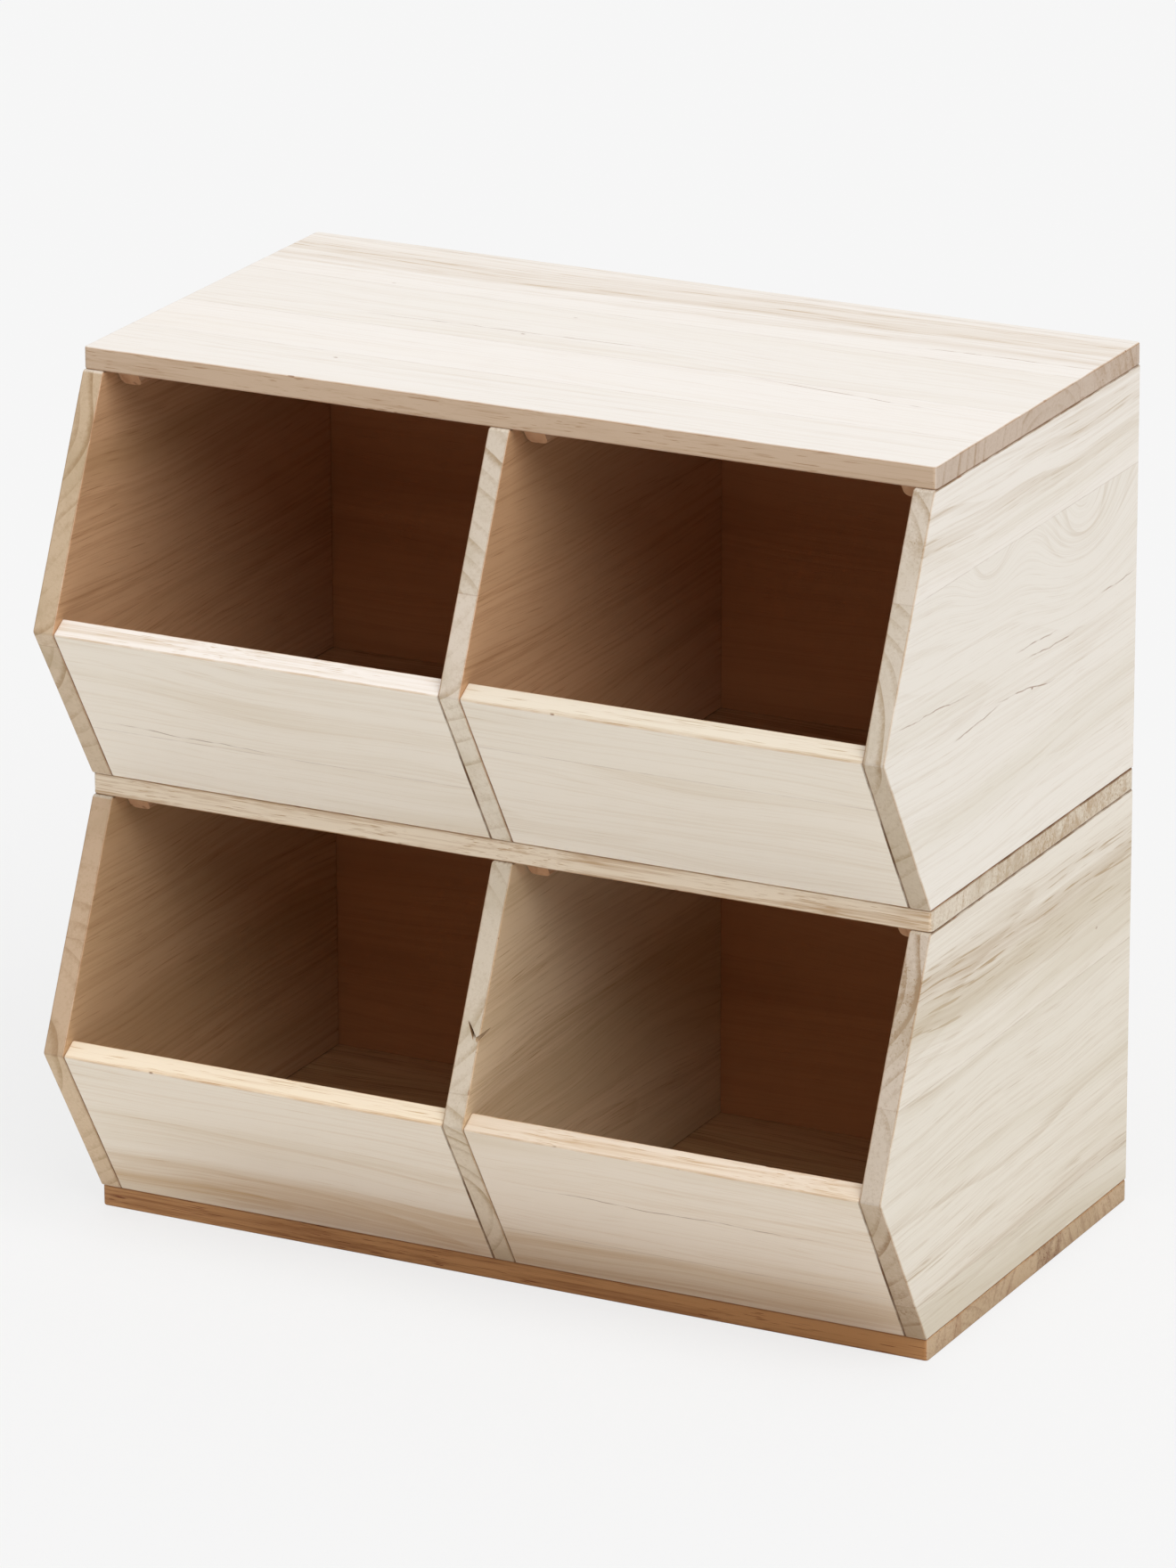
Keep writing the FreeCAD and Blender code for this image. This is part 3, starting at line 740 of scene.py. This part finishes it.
def torn_grain(x_face, z_floor):
    """Cutters for the V-shaped split in the lower divider's front right arris, above its knee."""
    slope = Vector((0.0, upright_front - knee_front, UPRIGHT_HEIGHT - KNEE_HEIGHT)).normalized()
    outward = Vector((0.0, -slope.z, slope.y))
    knee = Vector((x_face, knee_front, z_floor + KNEE_HEIGHT))
    tip = knee + slope * SPLIT_RISE - ALONG_X * SPLIT_FROM_ARRIS
    left_end = tip + slope * SPLIT_LENGTH - ALONG_X * SPLIT_LENGTH * SPLIT_LEAN
    arris_point = tip + slope * SPLIT_FROM_ARRIS + ALONG_X * SPLIT_FROM_ARRIS
    right_end = arris_point + ALONG_Y * SPLIT_LENGTH * SPLIT_INSIDE + ALONG_Z * SPLIT_FROM_ARRIS / 2
    past_arris = arris_point + (outward + ALONG_X) * CUTTER_OVERRUN
    under = (tip + left_end) / 2 - outward * SPLIT_DEPTH
    cutters = []
    for corners in ((tip, left_end, under), (tip, right_end, past_arris)):
        across = (corners[1] - corners[0]).cross(corners[2] - corners[0]).normalized()
        bm = bmesh.new()
        for corner, half in zip(corners, SPLIT_HALVES):
            for place in (corner - across * half, corner + across * half):
                bm.verts.new(place + outward * SPLIT_PROUD)
        bmesh.ops.convex_hull(bm, input=bm.verts)
        cutters.append(as_piece(bm, "split"))
    return cutters


# Their top and bottom arrises take painted shade where they meet the boards above and below.
upright_looks = dict(
    light=srgb(238, 230, 218), dark=srgb(196, 176, 148), stain=srgb(206, 196, 172),
    edge_tint=(0.84, 0.80, 0.75, 1.0), end_tint=(0.88, 0.82, 0.74, 1.0), edge_arris=JOINT_SHADE_TINT,
)
# The inner tints here are painted shade inside the bins, and the under tints painted light and shade on the
# front edges below the knees.
upright_own_looks = {
    "lower_left_side": dict(
        seams=(0.05,), seed=11.0, end_tint=(0.68, 0.52, 0.39, 1.0), under_lighting_tint=(0.83, 0.67, 0.50, 1.0),
        inner_shade_tint=(0.70, 0.48, 0.30, 1.0),
    ),
    "lower_divider": dict(
        seams=(0.0,), seed=12.0, inner_shade_tint=(0.86, 0.70, 0.52, 1.0), end_tint=(0.79, 0.73, 0.66, 1.0),
        under_lighting_tint=(0.88, 0.81, 0.71, 1.0),
    ),
    "lower_right_side": dict(
        light=srgb(224, 216, 202), dark=srgb(174, 150, 118), stain=srgb(200, 188, 164), seed=13.0,
        seams=(0.034, -0.108), heartwood=((0.092, 0.034, 0.24), (-0.100, 0.026, 0.08)),
        pins=((0.135, 0.058),), bands=0.08, dashes=0.18, end_tint=(0.78, 0.71, 0.66, 1.0),
        under_lighting_tint=(0.74, 0.63, 0.52, 1.0),
    ),
    "upper_left_side": dict(
        seams=(-0.03,), seed=14.0, end_tint=(0.66, 0.53, 0.39, 1.0), under_lighting_tint=(0.74, 0.62, 0.48, 1.0),
    ),
    "upper_divider": dict(
        seams=(0.04,), seed=15.0, end_tint=(0.78, 0.72, 0.66, 1.0), under_lighting_tint=(0.92, 0.88, 0.80, 1.0),
    ),
    "upper_right_side": dict(
        light=srgb(233, 226, 216), dark=srgb(194, 175, 150), seams=(0.071,), seed=16.0, figure=0.3,
        stain_share=0.3, bands=0.2, fibres=0.6, dashes=0.10, heartwood=((0.122, 0.045, 0.08),),
        end_tint=(0.80, 0.74, 0.67, 1.0), under_lighting_tint=(0.74, 0.65, 0.53, 1.0),
        whorls=((0.105, 0.052, 0.042, 0.050, 0), (-0.037, 0.061, 0.024, 0.026, 0)),
        cracks=(
            (-0.185, -0.002, 0.125, -0.07), (0.012, -0.012, 0.10, -0.05), (-0.10, -0.036, 0.085, 0.08),
            (-0.03, -0.027, 0.10, -0.12), (0.13, -0.001, 0.06, 0.0), (0.0, -0.004, 0.07, -0.03),
        ),
        pins=((0.028, -0.034),),
    ),
}
floor_screws = {}
for crate, body in (("lower", "lower_crate"), ("upper", "upper_crate")):
    floor_low, floor_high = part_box(crate + "_floor_board")
    floor_screws[crate] = screw_places(floor_low, floor_high)
    panel_low, panel_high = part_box(crate + "_back_panel")
    for part in ("left_side", "divider", "right_side"):
        node = crate + "_" + part
        low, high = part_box(node)
        piece = upright(node, node + "_board", floor_screws[crate])
        if part != "divider":
            inner_x = high.x if part == "left_side" else low.x
            cut(piece, groove(node, inner_x, panel_low, panel_high))
        elif crate == "lower":
            for cutter in torn_grain(high.x, low.z):
                cut(piece, cutter)
        wood = paulownia(
            node + "_wood", (low + high) / 2, ALONG_Y, ALONG_Z,
            inside={"left_side": (ALONG_X,), "divider": (ALONG_X, -ALONG_X), "right_side": (-ALONG_X,)}[part],
            **(upright_looks | dict(inner_shade_tint=INSIDE_SHADE_TINT[crate]) | upright_own_looks[node]),
        )
        fit(piece, node, body, wood)


# Front panels
# A slanted paulownia board closes the lower front of each bin. It is square at the top and bevelled at the
# foot, and is glued and dowelled between the uprights, with its grain across.

FRONT_PANEL_THICKNESS = 0.015
GAP_SHADE_TINT = (0.20, 0.12, 0.07, 1.0)  # painted shade of the joint on its end edges, where it meets the uprights

slant = Vector((0.0, knee_front - upright_front, KNEE_HEIGHT)).normalized()
inward = Vector((0.0, slant.z, -slant.y))

front_colours = dict(
    light=srgb(244, 234, 218), dark=srgb(208, 184, 150), stain=srgb(216, 198, 168),
    end_tint=(0.86, 0.82, 0.76, 1.0), end_arris=GAP_SHADE_TINT, bands=0.22, fibres=0.6, clouds=0.35,
)
front_looks = {
    "upper_left_front_panel": dict(
        seams=(-0.02,), cracks=((-0.136, -0.0125, 0.14, -0.04),), seed=21.0,
        edge_tint=(1.04, 1.06, 1.14, 1.0),
    ),
    "upper_right_front_panel": dict(seams=(0.024,), seed=22.0, edge_tint=(0.93, 0.91, 0.87, 1.0)),
    "lower_left_front_panel": dict(
        light=srgb(242, 231, 214), dark=srgb(204, 172, 130), heartwood=((-0.045, 0.028, 0.32),), seed=23.0,
        edge_tint=(1.06, 1.01, 0.93, 1.0),
    ),
    "lower_right_front_panel": dict(
        light=srgb(237, 225, 207), dark=srgb(202, 171, 130), heartwood=((-0.05, 0.026, 0.26),), seed=24.0,
        seams=(-0.03,), cracks=((-0.125, 0.0175, 0.25, 0.0),), edge_tint=(0.99, 0.95, 0.93, 1.0),
    ),
}
for node, look in front_looks.items():
    crate = node.split("_")[0]
    low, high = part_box(node)
    foot = Vector((0.0, upright_front, low.z))
    knee = Vector((0.0, knee_front, low.z + KNEE_HEIGHT))
    top_back = knee + inward * FRONT_PANEL_THICKNESS
    foot_back = foot + Vector((0.0, FRONT_PANEL_THICKNESS / inward.y, 0.0))
    bm = slab([(p.y, p.z) for p in (foot, foot_back, top_back, knee)], low.x, high.x)
    ease(bm, ARRIS)
    piece = as_piece(bm, node + "_board")
    middle = Vector(((low.x + high.x) / 2, (foot.y + top_back.y) / 2, (foot.z + top_back.z) / 2))
    wood = paulownia(
        node + "_wood", middle, ALONG_X, slant, inside=(inward,), inner_shade_tint=INSIDE_SHADE_TINT[crate],
        **(front_colours | look),
    )
    fit(piece, node, crate + "_crate", wood)


# Back panels
# A thin panel of smoother wood closes the back of each crate, with its grain across. Its darker, redder
# colour is painted shade of the deep bins. It stands in grooves in the sides, and three small screws from
# behind hold it to the divider.

BACK_ARRIS = 0.0005
SMALL_SCREW_HEAD = 0.003  # radius
SMALL_SCREW_SHANK = 0.0015  # radius
BACK_SCREW_LENGTH = 0.0218
BACK_SCREW_SINK = 0.0002
BACK_SCREW_END = 0.040
BACK_SCREW_COUNT = 3

back_screws = {}
for crate, seed in (("lower", 31.0), ("upper", 32.0)):
    node = crate + "_back_panel"
    low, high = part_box(node)
    bm = block(low, high)
    ease(bm, BACK_ARRIS)
    piece = as_piece(bm, node + "_board")
    step = (high.z - low.z - 2 * BACK_SCREW_END) / (BACK_SCREW_COUNT - 1)
    back_screws[crate] = [
        Vector((0.0, high.y, low.z + BACK_SCREW_END + step * i)) for i in range(BACK_SCREW_COUNT)
    ]
    hole = screw_hole(SMALL_SCREW_HEAD, SMALL_SCREW_SHANK, BACK_SCREW_LENGTH, BACK_SCREW_SINK)
    cut(piece, as_piece(set_out(hole, back_screws[crate], -ALONG_Y), "holes"))
    # Its darker, redder colour and its inner tint are painted shade of the deep bins.
    wood = paulownia(
        node + "_wood", (low + high) / 2, ALONG_X, ALONG_Z,
        light=srgb(206, 176, 142), dark=srgb(166, 124, 86), stain=srgb(174, 140, 104),
        edge_tint=(0.85, 0.8, 0.75, 1.0), end_tint=(0.8, 0.75, 0.7, 1.0), inside=(-ALONG_Y,),
        inner_shade_tint=(0.86, 0.55, 0.36, 1.0), seed=seed, figure=0.2, fibres=0.3, bands=0.3, saw_marks=0.3,
    )
    fit(piece, node, crate + "_crate", wood)


# Upper floor board
# The upper crate's floor, edge-glued from paulownia, which also closes the lower bins from above. It is laid
# loose on the lower uprights, and nine countersunk screws come up through it into its own.

low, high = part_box("upper_floor_board")
floor_board = as_piece(flat_board(low, high), "upper_floor_board_board")
hole = screw_hole(FLOOR_SCREW_HEAD, FLOOR_SCREW_SHANK, FLOOR_SCREW_LENGTH, FLOOR_SCREW_SINK)
cut(floor_board, as_piece(set_out(hole, floor_screws["upper"], ALONG_Z), "holes"))
# Both its faces take painted shade inside the bins above and below, and its end arrises painted shade where
# they meet the sides.
floor_wood = paulownia(
    "floor_wood", (low + high) / 2, ALONG_X, ALONG_Y,
    light=srgb(230, 214, 192), dark=srgb(192, 162, 128), stain=srgb(200, 178, 150),
    edge_tint=(1.0, 0.98, 0.95, 1.0), end_tint=(0.86, 0.89, 0.92, 1.0), inside=(ALONG_Z, -ALONG_Z),
    inner_shade_tint=INSIDE_SHADE_TINT["upper"], edge_arris=(0.62, 0.50, 0.38, 1.0), end_arris=JOINT_SHADE_TINT,
    seams=(-0.09, 0.06), heartwood=((0.05, 0.145, 0.32),), seed=5.0, figure=0.6, fibres=1.2, dashes=0.4,
    clouds=0.6, end_rings=0.1,
)
fit(floor_board, "upper_floor_board", "upper_crate", floor_wood)


# Cleats
# Three wooden battens under the upper crate's floor and three under the lid drop between the uprights below
# and keep the loose pieces in place. Their noses slope back, their lower edges are rounded, and two small
# screws hold each one from below.

CLEAT_NOSE = 0.009  # the nose slopes back this far over the cleat's height
CLEAT_ROUND = 0.004
CLEAT_ROUND_STEPS = 6
CLEAT_ARRIS = 0.0005
CLEAT_ARRIS_STEPS = 2
CLEAT_PLAY = 0.001
CLEAT_WIDTH = 0.015
DIVIDER_THICKNESS = 0.015
CLEAT_SCREW_LENGTH = 0.0214
CLEAT_SCREW_SINK = 0.0006
CLEAT_SCREW_END = 0.040


def cleat(x0, low, high):
    """One cleat between two heights, with its nose cut back."""
    bm = block(Vector((x0, low.y, low.z)), Vector((x0 + CLEAT_WIDTH, high.y, high.z)))
    middle = (low + high) / 2
    for vert in bm.verts:
        if vert.co.y < middle.y and vert.co.z < middle.z:
            vert.co.y += CLEAT_NOSE
    lower = [
        e for e in bm.edges
        if all(v.co.z < middle.z for v in e.verts)
        and abs(e.verts[0].co.y - e.verts[1].co.y) > CLEAT_WIDTH
    ]
    ease(bm, CLEAT_ROUND, lower, CLEAT_ROUND_STEPS)
    ease(bm, CLEAT_ARRIS, steps=CLEAT_ARRIS_STEPS)
    return bm


cleat_screws = {}
for node, body, seed in (("upper_floor_cleats", "upper_crate", 41.0), ("lid_cleats", "lid", 42.0)):
    low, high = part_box(node)
    starts = (low.x, DIVIDER_THICKNESS / 2 + CLEAT_PLAY, high.x - CLEAT_WIDTH)
    joined = bmesh.new()
    for x0 in starts:
        one = bpy.data.meshes.new("one")
        bm = cleat(x0, low, high)
        bm.to_mesh(one)
        bm.free()
        joined.from_mesh(one)
        bpy.data.meshes.remove(one)
    piece = as_piece(joined, node + "_battens")
    cleat_screws[node] = [
        Vector((x0 + CLEAT_WIDTH / 2, y, low.z))
        for x0 in starts for y in (low.y + CLEAT_SCREW_END, high.y - CLEAT_SCREW_END)
    ]
    hole = screw_hole(SMALL_SCREW_HEAD, SMALL_SCREW_SHANK, CLEAT_SCREW_LENGTH, CLEAT_SCREW_SINK)
    cut(piece, as_piece(set_out(hole, cleat_screws[node], ALONG_Z), "holes"))
    wood = paulownia(
        node + "_wood", (low + high) / 2, ALONG_Y, ALONG_X,
        light=srgb(226, 190, 158), dark=srgb(196, 150, 112), stain=srgb(204, 164, 128),
        edge_tint=(0.9, 0.88, 0.84, 1.0), end_tint=(0.92, 0.86, 0.80, 1.0), figure=0.5, seed=seed,
    )
    fit(piece, node, body, wood)


# Lid
# A loose board of edge-glued paulownia, the same size as the floors, laid on the upper crate and kept there
# by its cleats. It is the palest of the boards, with a warm stripe of heartwood near its back edge.

low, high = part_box("lid_board")
lid = as_piece(flat_board(low, high), "lid_board_board")
# Its underside takes painted shade inside the upper bins.
lid_wood = paulownia(
    "lid_wood", (low + high) / 2, ALONG_X, ALONG_Y,
    light=srgb(241, 235, 228), dark=srgb(202, 180, 154), stain=srgb(236, 227, 214),
    edge_tint=(0.66, 0.51, 0.38, 1.0), end_tint=(0.62, 0.52, 0.44, 1.0), inside=(-ALONG_Z,),
    inner_shade_tint=INSIDE_SHADE_TINT["upper"], seams=(-0.094, -0.028, 0.060, 0.148), seed=7.0, figure=0.2,
    bands=0.0, stain_share=0.2, mismatch=0.03, dashes=0.05, clouds=0.04, heartwood=((0.118, 0.045, 0.13),),
    cracks=((-0.20, -0.005, 0.26, 0.03), (0.10, -0.028, 0.18, -0.11), (0.16, 0.078, 0.16, 0.04)),
    pins=((-0.193, 0.065), (-0.0615, -0.005), (-0.0485, 0.0435), (-0.1435, -0.106)),
)
fit(lid, "lid_board", "lid", lid_wood)


# Screws
# Countersunk steel screws with a cross recess. They hold the uprights from under the floors, the back panels
# to the dividers, and the cleats to the boards above them.

RECESS_WIDTH = 0.0030
RECESS_SLOT = 0.0009
RECESS_DEPTH = 0.0011
SCREW_POINT = 0.003  # length of the tapered point
SCREW_TIP = 0.0004
SAME_CORNER = 1e-6
STEEL_GRAIN = ((900.0, 900.0, 900.0), 3.0, 0.5)
STEEL_SHEEN = (0.3, 0.7, 0.28, 0.5)


def screw(head, shank, length):
    """A countersunk screw about +Z, its head's face at the origin, with a cross recess."""
    profile = [
        (0.0, 0.0), (head, 0.0), (shank, head - shank), (shank, length - SCREW_POINT), (SCREW_TIP, length),
        (0.0, length),
    ]
    piece = as_piece(turned(profile), "screw")
    for width, breadth in ((RECESS_WIDTH, RECESS_SLOT), (RECESS_SLOT, RECESS_WIDTH)):
        corner = Vector((width / 2, breadth / 2, RECESS_DEPTH))
        cut(piece, as_piece(block(-corner, corner), "recess"))
    bm = bmesh.new()
    bm.from_mesh(piece.data)
    bmesh.ops.remove_doubles(bm, verts=bm.verts, dist=SAME_CORNER)
    bpy.data.objects.remove(piece)
    return bm


steel = bpy.data.materials.new("screw_steel")
steel.use_nodes = True
tree = steel.node_tree
shader = tree.nodes["Principled BSDF"]
shader.inputs["Metallic"].default_value = 1.0
spot = wire(tree, "TexCoord").outputs["Object"]
grain_noise = stretched_noise(tree, spot, *STEEL_GRAIN)
tree.links.new(ramp(tree, grain_noise, *STEEL_SHEEN), shader.inputs["Roughness"])
bright, dull = srgb(208, 203, 190), srgb(150, 146, 136)
tree.links.new(blended(tree, grain_noise, dull, bright), shader.inputs["Base Color"])

floor_size = (FLOOR_SCREW_HEAD, FLOOR_SCREW_SHANK, FLOOR_SCREW_LENGTH)
back_size = (SMALL_SCREW_HEAD, SMALL_SCREW_SHANK, BACK_SCREW_LENGTH)
cleat_size = (SMALL_SCREW_HEAD, SMALL_SCREW_SHANK, CLEAT_SCREW_LENGTH)
screw_rows = []
for crate in ("lower", "upper"):
    body = crate + "_crate"
    screw_rows += [
        (crate + "_floor_screws", body, floor_size, FLOOR_SCREW_SINK, floor_screws[crate], ALONG_Z),
        (crate + "_back_screws", body, back_size, BACK_SCREW_SINK, back_screws[crate], -ALONG_Y),
    ]
for cleats, node, body in (
    ("upper_floor_cleats", "upper_cleat_screws", "upper_crate"), ("lid_cleats", "lid_cleat_screws", "lid"),
):
    screw_rows.append((node, body, cleat_size, CLEAT_SCREW_SINK, cleat_screws[cleats], ALONG_Z))
for node, body, size, sink, faces, direction in screw_rows:
    places = [face + direction * sink for face in faces]
    piece = as_piece(set_out(screw(*size), places, direction), node + "_steel")
    fit(piece, node, body, steel)


# Dowels
# Plain round beech dowels, 6 mm thick, glued between the front panels and the uprights. They are hidden in
# the wood, and the CAD solids stand for them.

dowel_wood = paulownia(
    "dowel_wood", Vector(), ALONG_X, ALONG_Y,
    light=srgb(222, 186, 142), dark=srgb(190, 146, 100), stain=srgb(200, 160, 116),
    edge_tint=AS_IS, end_tint=(0.85, 0.8, 0.75, 1.0), seed=51.0, figure=0.5,
)
for node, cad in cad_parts.items():
    if "dowels" in node:
        cad.data.materials.clear()
        cad.data.materials.append(dowel_wood)
